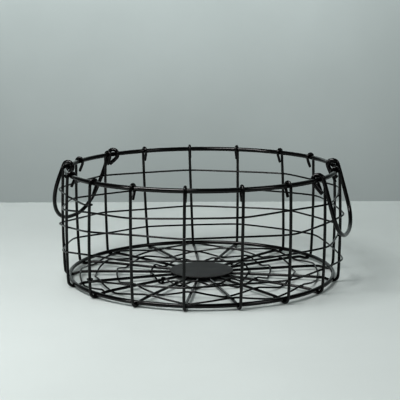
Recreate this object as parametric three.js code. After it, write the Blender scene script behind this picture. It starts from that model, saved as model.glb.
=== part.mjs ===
// A round wire produce basket, in millimetres, +Z up, standing on z = 0.
//
// Two hoops (the rim and the bottom ring) are joined by ribs. Each rib hooks over the rim, runs down
// the outside, curls under the bottom ring as a foot and goes on inwards as a spoke of the floor. A thin
// wire is woven in a spiral round the wall, another through the spokes, and a disc lies on the spokes.
// Two bail handles hang outside, each swinging on two eyes that go round the rim.
//
// Angles are in degrees from -Y towards +X, and the handles are near +X and -X.
import * as THREE from "three";

// Hoops
const RIM_RADIUS = 175;
const RIM_HEIGHT = 144.5;
const RIM_WIRE = 5.8;
const RING_RADIUS = 173.5;
const RING_WIRE = 5.2;

// Ribs
const RIB_COUNT = 17;
const RIB_WIRE = 3.6;
const FIRST_RIB_ANGLE = 13.6;
const RIB_PITCH = 360 / RIB_COUNT;
const RIB_BULGE = 1.8;
const FOOT_BEND_RADIUS = 7.5;
const HOOK_TAIL_LENGTH = 14;
const HOOK_TAIL_CLEARANCE = 1;
const SPOKE_HEIGHT = 4.8;
const SPOKE_INNER_RADIUS = 26;
const SPOKE_LEVEL_RADIUS = 161;
// How far each rib sits from its even place, in degrees, at the rim and at the foot: they are bent and
// spaced by hand.
const RIB_OFFSETS = [
  [-0.2, -0.7], [-0.3, 0], [0.3, -0.7], [1.6, 0], [0.5, 0], [1.9, 0.2], [1.2, 0.7], [1.7, -0.3], [0.7, -0.7],
  [-0.6, -0.4], [-1.9, -3], [-0.5, 0.5], [0.5, 0.5], [-1, -1], [-0.7, -1.5], [-0.4, -1.2], [0.5, -0.5],
];

// Woven wires
const WEAVE_WIRE = 2.3;
const WEAVE_GAP = 0.5;
const WEAVE_TURNS = 4;
const WEAVE_FIRST_RIB = 2;
// Half the length of a woven wire's straight bit at each rib: degrees in the wall, millimetres in the floor.
const WALL_BEND_HALF = 2.2;
const FLOOR_BEND_HALF = 2.6;
// The wall wire's height at every eighth of a turn, and the floor wire's radius at every quarter turn:
// one line for each turn, starting at the first rib and going clockwise as seen from above.
const WALL_HEIGHTS = [
  118.5, 117, 113.5, 111.5, 113, 113, 115, 112.5,
  108, 96, 88, 83.5, 88.5, 89.5, 87.5, 90,
  86, 70, 60, 58, 61, 61.5, 61.5, 62,
  55, 41, 31.5, 31.5, 33.5, 30.5, 32, 31.5,
  25.5,
];
const FLOOR_RADII = [
  161.5, 157, 155, 151,
  143, 137, 128.5, 119.5,
  114, 108, 98, 82.5,
  69.5, 67, 66.5, 63,
  66,
];

// Base disc
const DISC_RADIUS = 42;
const DISC_THICKNESS = 1.5;
const DISC_EDGE = 0.5;

// Handles
const HANDLE_WIRE = 5.2;
const HANDLE_MID_ANGLE = 94.75;
const HANDLE_HALF_SPAN = 20.8;
const TAIL_GAP = 0.5;
// Each handle's drop below the hinge, the straight part of its legs, the roundness of its bow, how far its
// front and rear legs bulge sideways, its lean away from the wall, and its eyes' radius and tails' reach.
const RIGHT_HANDLE = {
  drop: 82, straight: 48, roundness: 2.25, frontBulge: 0, rearBulge: -0.5, lean: 16.2, eye: 6.5, tail: 18,
};
const LEFT_HANDLE = {
  drop: 85, straight: 6, roundness: 2.5, frontBulge: 7.5, rearBulge: -2.5, lean: 17.4, eye: 6.8, tail: 15,
};
const BOW_STEPS = 9;

// Clearances and facets
const GAP = 0.3;
const HOOP_STEPS = 68;
const THICK_SIDES = 8;
const RIB_SIDES = 6;
const THIN_SIDES = 5;

const radians = THREE.MathUtils.degToRad;
const lerp = THREE.MathUtils.lerp;

const RIB_TOP_RADIUS = RIM_RADIUS + RIM_WIRE / 2 + GAP + RIB_WIRE / 2;
const RIB_FOOT_RADIUS = RING_RADIUS + FOOT_BEND_RADIUS - 0.2;
const RIB_BOTTOM = RIB_WIRE / 2;
const RING_HEIGHT = RIB_WIRE + GAP + RING_WIRE / 2;
const WEAVE_ANGLE = WEAVE_TURNS * 360;
const WEAVE_OFFSET = RIB_WIRE / 2 + WEAVE_GAP + WEAVE_WIRE / 2;

const steel = new THREE.MeshStandardMaterial({ color: 0x101011, roughness: 0.42, metalness: 0.6 });
const thinSteel = new THREE.MeshStandardMaterial({ color: 0x141415, roughness: 0.45, metalness: 0.6 });
const discSteel = new THREE.MeshStandardMaterial({ color: 0x3a3b3b, roughness: 0.6, metalness: 0.5 });

const basket = new THREE.Group();

// A wire's centre line: straight runs between points, one step to each run.
class WireRoute extends THREE.Curve {
  constructor(points) {
    super();
    this.points = points;
  }

  getPoint(t, target = new THREE.Vector3()) {
    const last = this.points.length - 1;
    const place = THREE.MathUtils.clamp(t, 0, 1) * last;
    const index = Math.min(Math.floor(place), last - 1);
    return target.lerpVectors(this.points[index], this.points[index + 1], place - index);
  }

  getUtoTmapping(u) {
    return u;
  }
}

function addPiece(name, geometry, material) {
  const mesh = new THREE.Mesh(geometry, material);
  mesh.name = name;
  basket.add(mesh);
  return mesh;
}

// A round section with flat facets.
function wireSection(diameter, sides) {
  const section = new THREE.Shape();
  for (let i = 0; i < sides; i += 1) {
    const angle = (2 * Math.PI * i) / sides;
    const x = (diameter / 2) * Math.cos(angle);
    const y = (diameter / 2) * Math.sin(angle);
    if (i === 0) section.moveTo(x, y);
    else section.lineTo(x, y);
  }
  section.closePath();
  return section;
}

function bentWire(points, diameter, sides) {
  return new THREE.ExtrudeGeometry(wireSection(diameter, sides), {
    steps: points.length - 1,
    curveSegments: 1,
    extrudePath: new WireRoute(points),
  });
}

function onCircle(angle, radius, height) {
  const a = radians(angle);
  return new THREE.Vector3(radius * Math.sin(a), -radius * Math.cos(a), height);
}

// 0 at the top of a rib's foot bend and 1 at the rim.
function riseShare(height) {
  const bendTop = RIB_BOTTOM + FOOT_BEND_RADIUS;
  return (height - bendTop) / (RIM_HEIGHT - bendTop);
}

function ribAngle(index, height) {
  const [atRim, atFoot] = RIB_OFFSETS[index];
  const share = THREE.MathUtils.clamp(riseShare(height), 0, 1);
  return FIRST_RIB_ANGLE - index * RIB_PITCH + lerp(atFoot, atRim, share);
}

// The rib's distance from the basket's axis: the wall bows out a little between the hoops.
function ribRadius(height) {
  const share = riseShare(height);
  return lerp(RIB_FOOT_RADIUS, RIB_TOP_RADIUS, share) + RIB_BULGE * 4 * share * (1 - share);
}

function arcPoints(centreX, centreY, radius, from, to, steps) {
  const points = [];
  for (let i = 0; i <= steps; i += 1) {
    const angle = radians(lerp(from, to, i / steps));
    points.push([centreX + radius * Math.cos(angle), centreY + radius * Math.sin(angle)]);
  }
  return points;
}

// One rib in its own upright plane, as [radius, height]: hook tail, hook, wall, foot and spoke.
function ribProfile() {
  const hookRadius = RIB_TOP_RADIUS - RIM_RADIUS;
  const tailEnd = [RIB_TOP_RADIUS - RIB_WIRE - HOOK_TAIL_CLEARANCE, RIM_HEIGHT - HOOK_TAIL_LENGTH];
  const hook = arcPoints(RIM_RADIUS, RIM_HEIGHT, hookRadius, 195, 0, 6);
  const wall = [];
  for (const height of [126, 105, 75, 42]) {
    wall.push([ribRadius(height), height]);
  }
  const footCentre = RIB_FOOT_RADIUS - FOOT_BEND_RADIUS;
  const foot = arcPoints(footCentre, RIB_BOTTOM + FOOT_BEND_RADIUS, FOOT_BEND_RADIUS, 0, -90, 4);
  const rise = [
    [RING_RADIUS - 5, RIB_BOTTOM + 0.7],
    [SPOKE_LEVEL_RADIUS + 3.5, SPOKE_HEIGHT - 0.9],
    [SPOKE_LEVEL_RADIUS, SPOKE_HEIGHT],
  ];
  const spokeEnd = [SPOKE_INNER_RADIUS, SPOKE_HEIGHT];
  return [tailEnd, ...hook, ...wall, ...foot, ...rise, spokeEnd];
}

function addRibs() {
  const profile = ribProfile();
  for (let i = 0; i < RIB_COUNT; i += 1) {
    const points = profile.map(([radius, height]) => onCircle(ribAngle(i, height), radius, height));
    const name = `rib_${String(i + 1).padStart(2, "0")}`;
    addPiece(name, bentWire(points, RIB_WIRE, RIB_SIDES), steel);
  }
}

function addHoop(name, radius, height, diameter, sides) {
  const hoop = addPiece(name, new THREE.TorusGeometry(radius, diameter / 2, sides, HOOP_STEPS), steel);
  hoop.position.z = height;
}

// The value at a share of the way through evenly spaced values, on a smooth curve through them.
function smoothValue(values, share) {
  const curve = new THREE.SplineCurve(values.map((value, index) => new THREE.Vector2(index, value)));
  return curve.getPoint(THREE.MathUtils.clamp(share, 0, 1)).y;
}

function wallHeight(turned) {
  return smoothValue(WALL_HEIGHTS, turned / WEAVE_ANGLE);
}

function floorRadius(turned) {
  return smoothValue(FLOOR_RADII, turned / WEAVE_ANGLE);
}

// The ribs in the order that a woven wire passes them, with the side it passes on.
function crossings() {
  const list = [];
  for (let step = 0; step <= WEAVE_TURNS * RIB_COUNT; step += 1) {
    const rib = (WEAVE_FIRST_RIB + step) % RIB_COUNT;
    list.push({ rib, turned: step * RIB_PITCH, side: step % 2 === 0 ? 1 : -1 });
  }
  return list;
}

// A hooked end: five eighths of a turn round a rib whose centre line passes through centre. It ends on the
// rib's outward side, where the wire leaves it going forward.
function hookPoints(centre, forward, outward) {
  const points = [];
  for (let angle = 225; angle >= 0; angle -= 45) {
    const a = radians(angle);
    const point = centre.clone();
    point.addScaledVector(forward, -WEAVE_OFFSET * Math.sin(a));
    point.addScaledVector(outward, WEAVE_OFFSET * Math.cos(a));
    points.push(point);
  }
  return points;
}

function addWallWeave() {
  const list = crossings();
  const points = [];
  for (const { rib, turned, side } of list) {
    const height = wallHeight(turned);
    const radius = ribRadius(height) + side * WEAVE_OFFSET;
    for (const nudge of [WALL_BEND_HALF, -WALL_BEND_HALF]) {
      points.push(onCircle(ribAngle(rib, height) + nudge, radius, wallHeight(turned - nudge)));
    }
  }
  const ends = [wallHook(list[0], 1), wallHook(list[list.length - 1], -1).reverse()];
  const route = [...ends[0], ...points.slice(1, -1), ...ends[1]];
  addPiece("wall_weave", bentWire(route, WEAVE_WIRE, THIN_SIDES), thinSteel);
}

// direction is 1 where the wire leaves the hook clockwise, seen from above, and -1 where it arrives.
function wallHook({ rib, turned }, direction) {
  const height = wallHeight(turned);
  const angle = ribAngle(rib, height);
  const centre = onCircle(angle, ribRadius(height), height);
  const forward = onCircle(angle - 90 * direction, 1, 0);
  return hookPoints(centre, forward, onCircle(angle, 1, 0));
}

// The floor's wire keeps to its circle between the spokes, where it changes over from one side to the other.
function addFloorWeave() {
  const list = crossings();
  const points = [];
  for (const { rib, turned, side } of list) {
    const radius = floorRadius(turned);
    const bendHalf = THREE.MathUtils.radToDeg(FLOOR_BEND_HALF / radius);
    if (turned > 0) {
      const before = turned - RIB_PITCH / 2;
      points.push(onCircle(ribAngle(rib, 0) + RIB_PITCH / 2, floorRadius(before), SPOKE_HEIGHT));
    }
    for (const nudge of [bendHalf, -bendHalf]) {
      points.push(onCircle(ribAngle(rib, 0) + nudge, radius, SPOKE_HEIGHT + side * WEAVE_OFFSET));
    }
  }
  const ends = [floorHook(list[0], 1), floorHook(list[list.length - 1], -1).reverse()];
  const route = [...ends[0], ...points.slice(1, -1), ...ends[1]];
  addPiece("floor_weave", bentWire(route, WEAVE_WIRE, THIN_SIDES), thinSteel);
}

function floorHook({ rib, turned }, direction) {
  const angle = ribAngle(rib, 0);
  const centre = onCircle(angle, floorRadius(turned), SPOKE_HEIGHT);
  const forward = onCircle(angle - 90 * direction, 1, 0);
  return hookPoints(centre, forward, new THREE.Vector3(0, 0, 1));
}

function addBaseDisc() {
  const underside = SPOKE_HEIGHT + RIB_WIRE / 2 + GAP;
  const top = underside + DISC_THICKNESS;
  const profile = [
    new THREE.Vector2(0, underside),
    new THREE.Vector2(DISC_RADIUS - DISC_EDGE, underside),
    new THREE.Vector2(DISC_RADIUS, underside + DISC_EDGE),
    new THREE.Vector2(DISC_RADIUS, top - DISC_EDGE),
    new THREE.Vector2(DISC_RADIUS - DISC_EDGE, top),
    new THREE.Vector2(0, top),
  ];
  const disc = addPiece("base_disc", new THREE.LatheGeometry(profile, 48), discSteel);
  disc.rotation.x = Math.PI / 2;
}

// Half of a handle as [along the hinge, outward, up] from the hinge's middle: tail, eye, leg, bow.
function handleHalf(shape, legBulge) {
  const reach = RIM_RADIUS * Math.sin(radians(HANDLE_HALF_SPAN));
  const tailEnd = [reach, shape.eye - HANDLE_WIRE - TAIL_GAP, -shape.tail];
  const eye = arcPoints(0, 0, shape.eye, 200, 0, 8).map(([out, up]) => [reach, out, up]);
  const bend = shape.drop - shape.straight;
  const leg = [];
  for (let i = 0; i <= BOW_STEPS; i += 1) {
    const angle = (Math.PI / 2) * (i / BOW_STEPS);
    const down = shape.straight + bend * Math.sin(angle) ** (2 / shape.roundness);
    const bulge = legBulge * Math.sin((Math.PI * down) / shape.drop);
    const along = i === BOW_STEPS ? 0 : reach * Math.cos(angle) ** (2 / shape.roundness);
    leg.push([along + bulge, shape.eye, -down]);
  }
  return [tailEnd, ...eye, ...leg];
}

// The hinge runs from the end with the smaller angle to the end with the larger one.
function addHandle(name, midAngle, shape, bulges) {
  const half = handleHalf(shape, bulges[1]);
  const mirrored = handleHalf(shape, bulges[0]).slice(0, -1).reverse().map(([t, out, up]) => [-t, out, up]);
  const hinge = onCircle(midAngle, RIM_RADIUS * Math.cos(radians(HANDLE_HALF_SPAN)), RIM_HEIGHT);
  const outward = onCircle(midAngle, 1, 0);
  const along = onCircle(midAngle + 90, 1, 0);
  const lean = radians(shape.lean);
  const points = [...half, ...mirrored].map(([t, out, up]) => {
    const point = hinge.clone().addScaledVector(along, t);
    point.addScaledVector(outward, out * Math.cos(lean) - up * Math.sin(lean));
    point.z += out * Math.sin(lean) + up * Math.cos(lean);
    return point;
  });
  addPiece(name, bentWire(points, HANDLE_WIRE, RIB_SIDES), steel);
}

addHoop("top_rim", RIM_RADIUS, RIM_HEIGHT, RIM_WIRE, THICK_SIDES);
addHoop("bottom_ring", RING_RADIUS, RING_HEIGHT, RING_WIRE, RIB_SIDES);
addRibs();
addWallWeave();
addFloorWeave();
addBaseDisc();
addHandle("handle_right", HANDLE_MID_ANGLE, RIGHT_HANDLE, [RIGHT_HANDLE.frontBulge, RIGHT_HANDLE.rearBulge]);
addHandle("handle_left", -HANDLE_MID_ANGLE, LEFT_HANDLE, [LEFT_HANDLE.rearBulge, LEFT_HANDLE.frontBulge]);

export default basket;
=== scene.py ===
# The looks of a round wire produce basket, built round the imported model. Metres, +Z up.
#
# Each wire of the CAD model is a faceted tube. Here its centre line is read from the frame, smoothed, moved
# towards the wires that it touches, and swept with a round section, so every wire follows the CAD's.
import math
import random

import bmesh
import bpy
import numpy as np
from mathutils import Matrix, Vector


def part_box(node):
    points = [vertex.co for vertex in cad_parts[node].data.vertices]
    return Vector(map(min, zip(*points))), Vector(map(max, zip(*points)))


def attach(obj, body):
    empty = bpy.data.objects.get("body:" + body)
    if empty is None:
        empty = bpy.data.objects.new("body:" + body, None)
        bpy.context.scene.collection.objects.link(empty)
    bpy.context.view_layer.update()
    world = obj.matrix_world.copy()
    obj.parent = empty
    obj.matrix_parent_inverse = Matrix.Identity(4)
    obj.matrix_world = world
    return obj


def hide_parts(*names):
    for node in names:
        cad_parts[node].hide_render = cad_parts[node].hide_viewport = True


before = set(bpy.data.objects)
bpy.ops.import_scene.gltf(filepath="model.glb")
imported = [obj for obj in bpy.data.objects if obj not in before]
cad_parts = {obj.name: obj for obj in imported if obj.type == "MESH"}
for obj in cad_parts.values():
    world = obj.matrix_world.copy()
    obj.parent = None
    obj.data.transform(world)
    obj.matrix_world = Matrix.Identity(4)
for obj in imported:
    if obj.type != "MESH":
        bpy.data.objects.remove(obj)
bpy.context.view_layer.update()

MM = 0.001

# Wire diameters, facets in the CAD and sides here. The hoops' wires are measured from the frame.
RIB_WIRE = 3.6 * MM
WOVEN_WIRE = 2.3 * MM
HANDLE_WIRE = 5.2 * MM
RIB_FACETS = 6
WOVEN_FACETS = 5
HANDLE_FACETS = 6
ROUND_SIDES = 20
WOVEN_SIDES = 12
HOOP_SIDES = 28
HOOP_STEPS = 360

# The gaps that the CAD model is designed to keep between wires that touch
HOOP_GAP = 0.3 * MM
WOVEN_GAP = 0.5 * MM
TAIL_GAP = 0.5 * MM

# Reading a faceted wire: closer vertices are one, and the corners of its flat ends are sharper than this
MERGE_DISTANCE = 2e-6
END_CORNER = math.radians(305)

# Steps along the smoothed lines
RIB_STEP = 1.2 * MM
HANDLE_STEP = 1.2 * MM
WOVEN_STEP = 1.4 * MM

# Closing up fades from one gap off touching to this many gaps off, and moves nothing beyond.
CLOSING_REACH = 3

# The dome on a cut end: its height and tip in wire radii, its steps towards full width, its roundness, and
# how far off the next point of the line is kept, in dome heights
DOME_HEIGHT = 0.45
DOME_TIP = 0.02
DOME_STEPS = np.array([0.0, 0.3, 0.55, 0.75, 0.9, 0.98])
DOME_ROUNDNESS = 2.4
DOME_CLEARANCE = 1.3

# The disc's rounded edge, and its steps round the axis
DISC_EDGE = 0.6 * MM
DISC_STEPS = 144

# How much wire at each end of a handle is moved towards the leg beside it
TAIL_LENGTH = 34 * MM

# Pools of coating: how near wires must come, half width and half height, and how much they vary
TOUCH_LIMIT = 0.25 * MM
WOVEN_POOL = (1.15 * MM, 0.5 * MM)
RING_POOL = (2.1 * MM, 0.8 * MM)
POOL_SIZES = (0.85, 1.1)
POOL_BREADTHS = (0.85, 1.0)
POOL_SKEW = 0.25

# The camera: it stands in front of the basket, turned round it, and looks slightly down.
CAMERA_TURN = math.radians(19.55)
CAMERA_DISTANCE = 1.5127
CAMERA_HEIGHT = 0.3826
CAMERA_SIDE = -0.0016
CAMERA_PITCH = math.radians(10.53)
CAMERA_ROLL = math.radians(-0.21)
CAMERA_LENS = 105.6
SENSOR_WIDTH = 36.0
CLIP_START = 0.05
CLIP_END = 30.0

# The table and the wall, from the middle of the basket, away from the camera
TABLE_BACK = 0.53
TABLE_FRONT = 2.6
TABLE_HALF_WIDTH = 3.2
TABLE_THICKNESS = 0.04
WALL_BACK = 2.4
WALL_HALF_WIDTH = 5.0
WALL_BOTTOM = -2.0
WALL_TOP = 3.6
WALL_THICKNESS = 0.1
TABLE_BEVEL = 0.002
WALL_BEVEL = 0.005

# The table's and the wall's paint: its darkest and lightest colours, and its roughness
TABLE_PAINT = ((0.615, 0.662, 0.65), (0.675, 0.726, 0.714), 0.55)
WALL_PAINT = ((0.60, 0.652, 0.644), (0.66, 0.716, 0.708), 0.8)

# Area lights, laid out in front of the camera: name, place, target, size, watts, colour
BASKET_MIDDLE = (0.0, 0.0, 0.05)
LIGHTS = [
    ("softbox_top", (-0.5, -0.5, 1.2), BASKET_MIDDLE, (0.9, 0.45), 11.4, (1.0, 0.985, 0.98)),
    ("softbox_left", (-2.0, -1.1, 1.2), BASKET_MIDDLE, (0.5, 0.5), 8.0, (1.0, 0.99, 0.985)),
    ("softbox_right", (1.7, -1.3, 1.3), BASKET_MIDDLE, (0.8, 0.8), 5.5, (1.0, 1.0, 1.0)),
    ("wall_wash", (-0.4, 1.4, 1.4), (-0.2, WALL_BACK, 0.6), (2.6, 0.4), 19.6, (0.97, 1.0, 1.0)),
]
ROOM_COLOUR = (0.66, 0.71, 0.70, 1.0)
ROOM_STRENGTH = 0.14


# ---------------------------------------------------------------- centre lines

def wire_rings(node, facets):
    """The centre of each ring of vertices of a faceted wire, from one end to the other."""
    mesh = bmesh.new()
    mesh.from_mesh(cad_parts[node].data)
    bmesh.ops.remove_doubles(mesh, verts=mesh.verts, dist=MERGE_DISTANCE)
    corners = [v for v in mesh.verts if sum(loop.calc_angle() for loop in v.link_loops) < END_CORNER]
    ring = end_ring(corners, facets)
    seen = set(ring)
    centres = []
    while ring:
        centres.append(sum((v.co for v in ring), Vector()) / len(ring))
        ahead = {e.other_vert(v) for v in ring for e in v.link_edges} - seen
        seen |= ahead
        ring = sorted(ahead, key=lambda v: v.index)
    mesh.free()
    return np.array(centres)


def end_ring(corners, facets):
    """The first group of joined corners that has as many as the wire has facets."""
    left = set(corners)
    for start in corners:
        if start not in left:
            continue
        group = [start]
        left.discard(start)
        for vertex in group:
            near = [e.other_vert(vertex) for e in vertex.link_edges]
            found = [v for v in near if v in left]
            group += found
            left -= set(found)
        if len(group) == facets:
            return group
    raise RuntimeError("a wire has no flat end to start from")


def smooth_line(points, spacing):
    """A centripetal Catmull-Rom curve through the points, in steps of about the spacing."""
    first = 2 * points[0] - points[1]
    last = 2 * points[-1] - points[-2]
    knots = np.vstack([first, points, last])
    line = []
    for i in range(1, len(knots) - 2):
        line += curve_span(knots[i - 1:i + 3], spacing)
    line.append(points[-1])
    return np.array(line)


def curve_span(four, spacing):
    """The curve from the second of four points up to the third, without its end."""
    gaps = np.sqrt(np.linalg.norm(np.diff(four, axis=0), axis=1))
    t0, t1, t2, t3 = np.concatenate([[0.0], np.cumsum(gaps)])
    steps = max(2, math.ceil(np.linalg.norm(four[2] - four[1]) / spacing))
    made = []
    for i in range(steps):
        t = t1 + (t2 - t1) * i / steps
        a1 = four[0] * (t1 - t) / (t1 - t0) + four[1] * (t - t0) / (t1 - t0)
        a2 = four[1] * (t2 - t) / (t2 - t1) + four[2] * (t - t1) / (t2 - t1)
        a3 = four[2] * (t3 - t) / (t3 - t2) + four[3] * (t - t2) / (t3 - t2)
        b1 = a1 * (t2 - t) / (t2 - t0) + a2 * (t - t0) / (t2 - t0)
        b2 = a2 * (t3 - t) / (t3 - t1) + a3 * (t - t1) / (t3 - t1)
        made.append(b1 * (t2 - t) / (t2 - t1) + b2 * (t - t1) / (t2 - t1))
    return made


def circle_line(radius, height, steps):
    angles = np.linspace(0, 2 * math.pi, steps, endpoint=False)
    return np.stack([radius * np.cos(angles), radius * np.sin(angles), np.full(steps, height)], axis=1)


def nearest_on_circle(points, radius, height):
    flat = np.linalg.norm(points[:, :2], axis=1, keepdims=True)
    found = points * radius / np.maximum(flat, 1e-9)
    found[:, 2] = height
    return found


def nearest_on_line(points, line):
    """For each point, the nearest place on a line of short straight runs."""
    start = line[:-1]
    run = line[1:] - start
    length = np.maximum((run ** 2).sum(1), 1e-15)
    found = np.empty_like(points)
    for i, point in enumerate(points):
        share = np.clip(((point - start) * run).sum(1) / length, 0, 1)
        places = start + run * share[:, None]
        found[i] = places[((places - point) ** 2).sum(1).argmin()]
    return found


def close_up(points, targets, contact, gap):
    """Moves points towards their targets by the gap, or by less where they are further off than that.

    Points that start nearer to touching than the gap are pressed in. Points that start further off stay apart.
    """
    toward = targets - points
    distance = np.linalg.norm(toward, axis=1)
    share = np.clip((contact + CLOSING_REACH * gap - distance) / ((CLOSING_REACH - 1) * gap), 0, 1)
    share = share * share * (3 - 2 * share)
    return points + toward * (gap * share / np.maximum(distance, 1e-9))[:, None]


# ---------------------------------------------------------------- meshes

def new_piece(name, points, faces):
    mesh = bpy.data.meshes.new(name)
    mesh.from_pydata([tuple(p) for p in points], [], faces)
    mesh.validate()
    mesh.polygons.foreach_set("use_smooth", [True] * len(mesh.polygons))
    piece = bpy.data.objects.new(name, mesh)
    bpy.context.scene.collection.objects.link(piece)
    return piece


def section_frames(line, closed):
    """A direction across the wire at each point, turning as little as possible along it."""
    if closed:
        tangents = np.roll(line, -1, 0) - np.roll(line, 1, 0)
    else:
        tangents = np.gradient(line, axis=0)
    tangents /= np.linalg.norm(tangents, axis=1, keepdims=True)
    side = np.cross(tangents[0], [0.0, 0.0, 1.0])
    if np.linalg.norm(side) < 0.1:
        side = np.cross(tangents[0], [1.0, 0.0, 0.0])
    sides = []
    for tangent in tangents:
        side = side - tangent * (side @ tangent)
        side = side / np.linalg.norm(side)
        sides.append(side)
    sides = np.array(sides)
    return sides, np.cross(tangents, sides)


def dome_ends(line, diameter):
    """The line with each end's last stretch made into a low dome, and the radius at each of its points."""
    radius = diameter / 2
    height = DOME_HEIGHT * radius
    depth = height * (1 - DOME_STEPS)
    widths = radius * np.sqrt(1 - (1 - DOME_STEPS) ** DOME_ROUNDNESS)
    widths[0] = DOME_TIP * radius
    start = line[1] - line[0]
    start = start / np.linalg.norm(start)
    end = line[-1] - line[-2]
    end = end / np.linalg.norm(end)
    head = line[0] + start * (height - depth)[:, None]
    tail = line[-1] - end * (height - depth[::-1])[:, None]
    keep = line[1:-1]
    far = np.linalg.norm(keep - line[0], axis=1) > DOME_CLEARANCE * height
    far &= np.linalg.norm(keep - line[-1], axis=1) > DOME_CLEARANCE * height
    keep = keep[far]
    radii = np.concatenate([widths, np.full(len(keep), radius), widths[::-1]])
    return np.vstack([head, keep, tail]), radii


def round_wire(name, line, diameter, sides, closed=False):
    """A round wire along a line. An open wire has low domed ends, as a coated cut end has."""
    if closed:
        radii = np.full(len(line), diameter / 2)
    else:
        line, radii = dome_ends(line, diameter)
    across, up = section_frames(line, closed)
    angles = np.linspace(0, 2 * math.pi, sides, endpoint=False)
    ring = across[:, None] * np.cos(angles)[None, :, None] + up[:, None] * np.sin(angles)[None, :, None]
    points = (line[:, None] + ring * radii[:, None, None]).reshape(-1, 3)
    count = len(line)
    faces = []
    for i in range(count if closed else count - 1):
        a, b = i * sides, ((i + 1) % count) * sides
        for j in range(sides):
            k = (j + 1) % sides
            faces.append((a + j, a + k, b + k, b + j))
    if not closed:
        faces.append(tuple(reversed(range(sides))))
        faces.append(tuple(range((count - 1) * sides, count * sides)))
    return new_piece(name, points, faces)


def finish_piece(piece, body, slot, *nodes):
    """Parents a piece to its body, gives it the material of its slot and hides the CAD nodes that it stands
    for.
    """
    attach(piece, body)
    if nodes:
        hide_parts(*nodes)
    piece.data.materials.append(MATERIALS[slot])
    return piece


# ---------------------------------------------------------------- materials

def noise(tree, scale, detail=3.0, roughness=0.5):
    """A noise texture in the object's own coordinates; scale is in cycles per metre."""
    place = tree.nodes.new("ShaderNodeTexCoord")
    texture = tree.nodes.new("ShaderNodeTexNoise")
    texture.inputs["Scale"].default_value = scale
    texture.inputs["Detail"].default_value = detail
    texture.inputs["Roughness"].default_value = roughness
    tree.links.new(place.outputs["Object"], texture.inputs["Vector"])
    return texture.outputs["Fac"]


def colour_ramp(tree, value, stops):
    ramp = tree.nodes.new("ShaderNodeValToRGB")
    elements = ramp.color_ramp.elements
    while len(elements) < len(stops):
        elements.new(0.5)
    for element, (position, colour) in zip(elements, stops):
        element.position = position
        element.color = (*colour, 1.0)
    tree.links.new(value, ramp.inputs["Fac"])
    return ramp.outputs["Color"]


def spread(tree, value, low, high, from_low=0.3, from_high=0.7):
    """A value mapped from the middle of a noise's range onto low to high."""
    ranged = tree.nodes.new("ShaderNodeMapRange")
    ranged.inputs["From Min"].default_value = from_low
    ranged.inputs["From Max"].default_value = from_high
    ranged.inputs["To Min"].default_value = low
    ranged.inputs["To Max"].default_value = high
    tree.links.new(value, ranged.inputs["Value"])
    return ranged.outputs["Result"]


def bump(tree, heights):
    """Bumps stacked one on another, each (height, strength, distance in metres)."""
    normal = None
    for height, strength, distance in heights:
        node = tree.nodes.new("ShaderNodeBump")
        node.inputs["Strength"].default_value = strength
        node.inputs["Distance"].default_value = distance
        tree.links.new(height, node.inputs["Height"])
        if normal is not None:
            tree.links.new(normal, node.inputs["Normal"])
        normal = node.outputs["Normal"]
    return normal


def new_material(name):
    material = bpy.data.materials.new(name)
    material.use_nodes = True
    tree = material.node_tree
    return material, tree, tree.nodes["Principled BSDF"]


def powder_coat(name, tone, peel_scale):
    """Black powder coat on wire: a smooth satin with a faint peel, cloudy gloss and a few dull scuffs."""
    darker, lighter, scuff_tone = 0.7, 1.3, 2.2
    scuff_roughness = 0.08
    material, tree, shader = new_material(name)
    mottle = noise(tree, 90.0, detail=4.0)
    scuffs = noise(tree, 420.0, detail=6.0, roughness=0.7)
    scuffed = spread(tree, scuffs, 0.0, 1.0, from_low=0.62, from_high=0.72)
    dark = [darker * c for c in tone]
    light = [lighter * c for c in tone]
    colour = colour_ramp(tree, mottle, [(0.35, dark), (0.65, light)])
    worn = tree.nodes.new("ShaderNodeMix")
    worn.data_type = "RGBA"
    tree.links.new(scuffed, worn.inputs["Factor"])
    tree.links.new(colour, worn.inputs["A"])
    worn.inputs["B"].default_value = (*[scuff_tone * c for c in light], 1.0)
    tree.links.new(worn.outputs["Result"], shader.inputs["Base Color"])
    rougher = tree.nodes.new("ShaderNodeMath")
    rougher.operation = "MULTIPLY_ADD"
    tree.links.new(scuffed, rougher.inputs[0])
    rougher.inputs[1].default_value = scuff_roughness
    tree.links.new(spread(tree, mottle, 0.11, 0.16), rougher.inputs[2])
    tree.links.new(rougher.outputs["Value"], shader.inputs["Roughness"])
    peel = noise(tree, peel_scale, detail=2.0)
    drawn = noise(tree, 60.0, detail=1.0)
    tree.links.new(bump(tree, [(drawn, 0.3, 0.0003), (peel, 0.15, 0.00004)]), shader.inputs["Normal"])
    shader.inputs["Specular IOR Level"].default_value = 0.5
    shader.inputs["Coat Weight"].default_value = 0.05
    shader.inputs["Coat Roughness"].default_value = 0.1
    return material


def disc_coat_painted_sheen(name):
    """The same black coat on flat sheet: duller, with a fine grain and faint rubbed patches. Its base colour
    is a lighter grey than the wires', a painted sheen for the bright wall seen on it at a grazing angle.
    """
    material, tree, shader = new_material(name)
    mottle = noise(tree, 45.0, detail=5.0)
    grain = noise(tree, 2600.0, detail=2.0)
    # Painted sheen: the coat is as black as the wires', but these greys are about eight times lighter,
    # standing in for the wall's reflection at a grazing angle. The mottle between them is random.
    colour = colour_ramp(tree, mottle, [(0.3, (0.026, 0.027, 0.027)), (0.7, (0.034, 0.035, 0.035))])
    tree.links.new(colour, shader.inputs["Base Color"])
    tree.links.new(spread(tree, mottle, 0.5, 0.6), shader.inputs["Roughness"])
    tree.links.new(bump(tree, [(mottle, 0.2, 0.0004), (grain, 0.35, 0.00006)]), shader.inputs["Normal"])
    shader.inputs["Specular IOR Level"].default_value = 0.4
    return material


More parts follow.
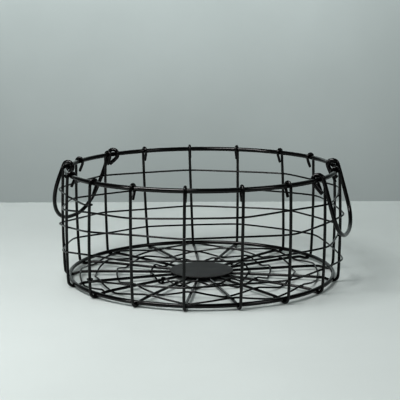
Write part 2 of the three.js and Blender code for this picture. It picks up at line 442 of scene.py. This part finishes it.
def stage_paint(name, dark, light, roughness):
    """Brushed-on pale paint on the table and wall, with wide soft clouds and short strokes."""
    roughness_spread = 0.04
    material, tree, shader = new_material(name)
    clouds = noise(tree, 2.2, detail=4.0)
    strokes = noise(tree, 26.0, detail=6.0, roughness=0.65)
    colour = colour_ramp(tree, clouds, [(0.25, dark), (0.75, light)])
    tree.links.new(colour, shader.inputs["Base Color"])
    ranged = spread(tree, strokes, roughness - roughness_spread, roughness + roughness_spread)
    tree.links.new(ranged, shader.inputs["Roughness"])
    tree.links.new(bump(tree, [(strokes, 0.12, 0.002)]), shader.inputs["Normal"])
    shader.inputs["Specular IOR Level"].default_value = 0.3
    return material


MATERIALS = {
    "thick_wire": powder_coat("coat_thick_wire", (0.0040, 0.0037, 0.0038), 1500.0),
    "rib_wire": powder_coat("coat_rib_wire", (0.0038, 0.0036, 0.0036), 1700.0),
    "woven_wire": powder_coat("coat_woven_wire", (0.0036, 0.0035, 0.0035), 2100.0),
    "handle_wire": powder_coat("coat_handle_wire", (0.0042, 0.0040, 0.0040), 1500.0),
    # The disc's coat has a painted sheen: its base colour is greyer than the black wires'.
    "base_disc": disc_coat_painted_sheen("coat_disc_painted_sheen"),
}


# ---------------------------------------------------------------- hoops, ribs and disc

class Hoop:
    """A hoop's radius, height and wire, measured from its CAD node.

    The wire is measured outwards, where its faceted section has a corner on each side. A section with six
    facets is lower than it is wide.
    """

    def __init__(self, node):
        corners = np.array([v.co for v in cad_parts[node].data.vertices])
        reach = np.linalg.norm(corners[:, :2], axis=1)
        heights = corners[:, 2]
        self.node = node
        self.wire = float(reach.max() - reach.min())
        self.radius = float(reach.max() + reach.min()) / 2
        self.height = float(heights.max() + heights.min()) / 2


def add_hoop(hoop):
    line = circle_line(hoop.radius, hoop.height, HOOP_STEPS)
    piece = round_wire(hoop.node + "_wire", line, hoop.wire, HOOP_SIDES, closed=True)
    return finish_piece(piece, "basket", "thick_wire", hoop.node)


def rib_line(node, rim):
    line = smooth_line(wire_rings(node, RIB_FACETS), RIB_STEP)
    contact = (rim.wire + RIB_WIRE) / 2
    return close_up(line, nearest_on_circle(line, rim.radius, rim.height), contact, HOOP_GAP)


def add_ribs(rim):
    lines = {}
    for node in sorted(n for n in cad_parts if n.startswith("rib_")):
        lines[node] = rib_line(node, rim)
        piece = round_wire(node + "_wire", lines[node], RIB_WIRE, ROUND_SIDES)
        finish_piece(piece, "basket", "rib_wire", node)
    return lines


def add_disc():
    low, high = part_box("base_disc")
    radius = (high.x - low.x) / 2
    edge = DISC_EDGE
    bottom = low.z - HOOP_GAP
    top = high.z - HOOP_GAP
    outline = [(0.0, bottom), (0.5 * radius, bottom)]
    outline += round_corner(radius - edge, bottom + edge, edge, -90, 0)
    outline += round_corner(radius - edge, top - edge, edge, 0, 90)
    outline += [(0.85 * radius, top), (0.5 * radius, top), (0.0, top)]
    piece = new_piece("base_disc_sheet", *turned(outline, DISC_STEPS))
    return finish_piece(piece, "basket", "base_disc", "base_disc")


def round_corner(x, z, radius, start, end, steps=6):
    angles = [math.radians(start + (end - start) * i / steps) for i in range(steps + 1)]
    return [(x + radius * math.cos(a), z + radius * math.sin(a)) for a in angles]


def turned(outline, steps):
    """Points and faces of an outline turned about Z. Its first and last points are on the axis."""
    points = [(0.0, 0.0, outline[0][1])]
    for x, z in outline[1:-1]:
        for i in range(steps):
            a = 2 * math.pi * i / steps
            points.append((x * math.cos(a), x * math.sin(a), z))
    points.append((0.0, 0.0, outline[-1][1]))
    rows = len(outline) - 2
    last = len(points) - 1
    faces = []
    for i in range(steps):
        k = (i + 1) % steps
        faces.append((0, 1 + k, 1 + i))
        faces.append((last, last - steps + i, last - steps + k))
        for row in range(rows - 1):
            a, b = 1 + row * steps, 1 + (row + 1) * steps
            faces.append((a + i, a + k, b + k, b + i))
    return points, faces


# ---------------------------------------------------------------- woven wires

def woven_line(node, ribs):
    """A woven wire's line, moved towards each rib it crosses.

    Smoothing leaves the crossings at different distances, so the fixed gap closes only some of them: others
    stay up to about 1.4 mm apart, and some on the floor are pressed up to about 0.6 mm into the rib.
    """
    line = smooth_line(wire_rings(node, WOVEN_FACETS), WOVEN_STEP)
    contact = (RIB_WIRE + WOVEN_WIRE) / 2
    for rib in ribs.values():
        line = close_up(line, nearest_on_line(line, rib), contact, WOVEN_GAP)
    return line


def add_woven(node, ribs):
    line = woven_line(node, ribs)
    piece = round_wire(node + "_wire", line, WOVEN_WIRE, WOVEN_SIDES)
    finish_piece(piece, "basket", "woven_wire", node)
    return line


# ---------------------------------------------------------------- pools of coating where wires touch

def touches(line, line_wire, rib):
    """Where a wire touches a rib, at each nearest pass: (place, way to the rib, way along the wire)."""
    near = nearest_on_line(line, rib)
    distance = np.linalg.norm(near - line, axis=1)
    limit = (line_wire + RIB_WIRE) / 2 + TOUCH_LIMIT
    found = []
    for i in range(1, len(line) - 1):
        lowest = distance[i] <= distance[i - 1] and distance[i] < distance[i + 1]
        if lowest and distance[i] < limit:
            toward = (near[i] - line[i]) / distance[i]
            along = line[i + 1] - line[i - 1]
            found.append((line[i] + toward * line_wire / 2, toward, along / np.linalg.norm(along)))
    return found


def rib_touches(line, line_wire, ribs):
    return [touch for rib in ribs.values() for touch in touches(line, line_wire, rib)]


def add_pools(name, places, shape_size, slot, seed):
    """Small lens-shaped pools of coating in the crooks between touching wires, as one mesh."""
    width, height = shape_size
    template = bmesh.new()
    bmesh.ops.create_icosphere(template, subdivisions=3, radius=1.0)
    shape = np.array([v.co for v in template.verts])
    triangles = [[v.index for v in f.verts] for f in template.faces]
    template.free()
    chance = random.Random(seed)
    points, faces = [], []
    for place, toward, along in places:
        across = np.cross(toward, along)
        size = chance.uniform(*POOL_SIZES)
        lift = 1 + POOL_SKEW * shape[:, 0] * shape[:, 1] * chance.uniform(-1, 1)
        scaled = shape * [size * width, size * width * chance.uniform(*POOL_BREADTHS), height]
        start = len(points)
        for (a, b, c), grow in zip(scaled, lift):
            points.append(place + (along * a + across * b) * grow + toward * c)
        faces += [[start + i for i in triangle] for triangle in triangles]
    if not points:
        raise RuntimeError(name + " has no places, so wires that should touch do not")
    piece = new_piece(name, points, faces)
    return finish_piece(piece, "basket", slot)


# ---------------------------------------------------------------- handles

def handle_line(node):
    """The handle's line, with each tail's end moved towards the leg beside it.

    The ends do not all reach: as built, the left handle's first end stays about 1.6 mm off its leg, and the
    other three stay 0.2 to 0.4 mm off.
    """
    line = smooth_line(wire_rings(node, HANDLE_FACETS), HANDLE_STEP)
    middle = len(line) // 2
    travelled = np.concatenate([[0.0], np.cumsum(np.linalg.norm(np.diff(line, axis=0), axis=1))])
    first = int(np.searchsorted(travelled, TAIL_LENGTH))
    last = int(np.searchsorted(travelled, travelled[-1] - TAIL_LENGTH))
    head = close_up(line[:first], nearest_on_line(line[:first], line[first:middle]), HANDLE_WIRE, TAIL_GAP)
    tail = close_up(line[last:], nearest_on_line(line[last:], line[middle:last]), HANDLE_WIRE, TAIL_GAP)
    return np.vstack([head, line[first:last], tail])


def add_handle(node, body):
    piece = round_wire(node + "_wire", handle_line(node), HANDLE_WIRE, ROUND_SIDES)
    return finish_piece(piece, body, "handle_wire", node)


# ---------------------------------------------------------------- the stage

def turn_to_camera(obj):
    """Turns an object laid out in front of the camera into the basket's own frame."""
    obj.matrix_world = Matrix.Rotation(CAMERA_TURN, 4, "Z") @ obj.matrix_world
    return obj


def slab(name, low, high, material, bevel):
    mesh = bmesh.new()
    bmesh.ops.create_cube(mesh, size=1.0)
    for vertex in mesh.verts:
        share = vertex.co + Vector((0.5, 0.5, 0.5))
        vertex.co = Vector([lo + (hi - lo) * s for lo, hi, s in zip(low, high, share)])
    bmesh.ops.bevel(mesh, geom=list(mesh.edges), offset=bevel, segments=4, profile=0.5, affect="EDGES")
    data = bpy.data.meshes.new(name)
    mesh.to_mesh(data)
    mesh.free()
    data.materials.append(material)
    obj = bpy.data.objects.new(name, data)
    bpy.context.scene.collection.objects.link(obj)
    return turn_to_camera(obj)


def add_stage():
    table = stage_paint("table_paint", *TABLE_PAINT)
    wall = stage_paint("wall_paint", *WALL_PAINT)
    slab("table", (-TABLE_HALF_WIDTH, -TABLE_FRONT, -TABLE_THICKNESS),
         (TABLE_HALF_WIDTH, TABLE_BACK, 0.0), table, TABLE_BEVEL)
    slab("wall", (-WALL_HALF_WIDTH, WALL_BACK, WALL_BOTTOM),
         (WALL_HALF_WIDTH, WALL_BACK + WALL_THICKNESS, WALL_TOP), wall, WALL_BEVEL)


def add_area_light(name, place, target, size, power, colour):
    data = bpy.data.lights.new(name, "AREA")
    data.shape = "RECTANGLE"
    data.size, data.size_y = size
    data.energy = power
    data.color = colour
    light = bpy.data.objects.new(name, data)
    bpy.context.scene.collection.objects.link(light)
    light.visible_camera = False
    aim = (Vector(target) - Vector(place)).to_track_quat("-Z", "Y")
    light.matrix_world = Matrix.Translation(place) @ aim.to_matrix().to_4x4()
    return turn_to_camera(light)


def add_lights():
    for light in LIGHTS:
        add_area_light(*light)
    world = bpy.data.worlds.new("room")
    world.use_nodes = True
    background = world.node_tree.nodes["Background"]
    background.inputs["Color"].default_value = ROOM_COLOUR
    background.inputs["Strength"].default_value = ROOM_STRENGTH
    bpy.context.scene.world = world


def add_camera():
    data = bpy.data.cameras.new("camera")
    data.sensor_width = SENSOR_WIDTH
    data.lens = CAMERA_LENS
    data.clip_start = CLIP_START
    data.clip_end = CLIP_END
    camera = bpy.data.objects.new("camera", data)
    bpy.context.scene.collection.objects.link(camera)
    place = Matrix.Translation((CAMERA_SIDE, -CAMERA_DISTANCE, CAMERA_HEIGHT))
    aim = Matrix.Rotation(math.pi / 2 - CAMERA_PITCH, 4, "X") @ Matrix.Rotation(CAMERA_ROLL, 4, "Z")
    camera.matrix_world = place @ aim
    turn_to_camera(camera)
    bpy.context.scene.camera = camera


# ---------------------------------------------------------------- build

def add_coat_pools(wall, floor, ring, ribs):
    ring_line = circle_line(ring.radius, ring.height, 4 * HOOP_STEPS)
    wall_touches = rib_touches(wall, WOVEN_WIRE, ribs)
    floor_touches = rib_touches(floor, WOVEN_WIRE, ribs)
    ring_touches = rib_touches(ring_line, ring.wire, ribs)
    add_pools("wall_coat_pools", wall_touches, WOVEN_POOL, "woven_wire", seed=11)
    add_pools("floor_coat_pools", floor_touches, WOVEN_POOL, "woven_wire", seed=12)
    add_pools("ring_coat_pools", ring_touches, RING_POOL, "thick_wire", seed=13)


def build():
    add_camera()
    rim = Hoop("top_rim")
    ring = Hoop("bottom_ring")
    ring.height -= HOOP_GAP
    add_hoop(rim)
    add_hoop(ring)
    ribs = add_ribs(rim)
    wall = add_woven("wall_weave", ribs)
    floor = add_woven("floor_weave", ribs)
    add_disc()
    add_coat_pools(wall, floor, ring, ribs)
    add_handle("handle_right", "right_handle")
    add_handle("handle_left", "left_handle")
    add_stage()
    add_lights()
    bpy.context.scene.view_settings.view_transform = "Standard"
    bpy.context.scene.view_settings.look = "High Contrast"


build()
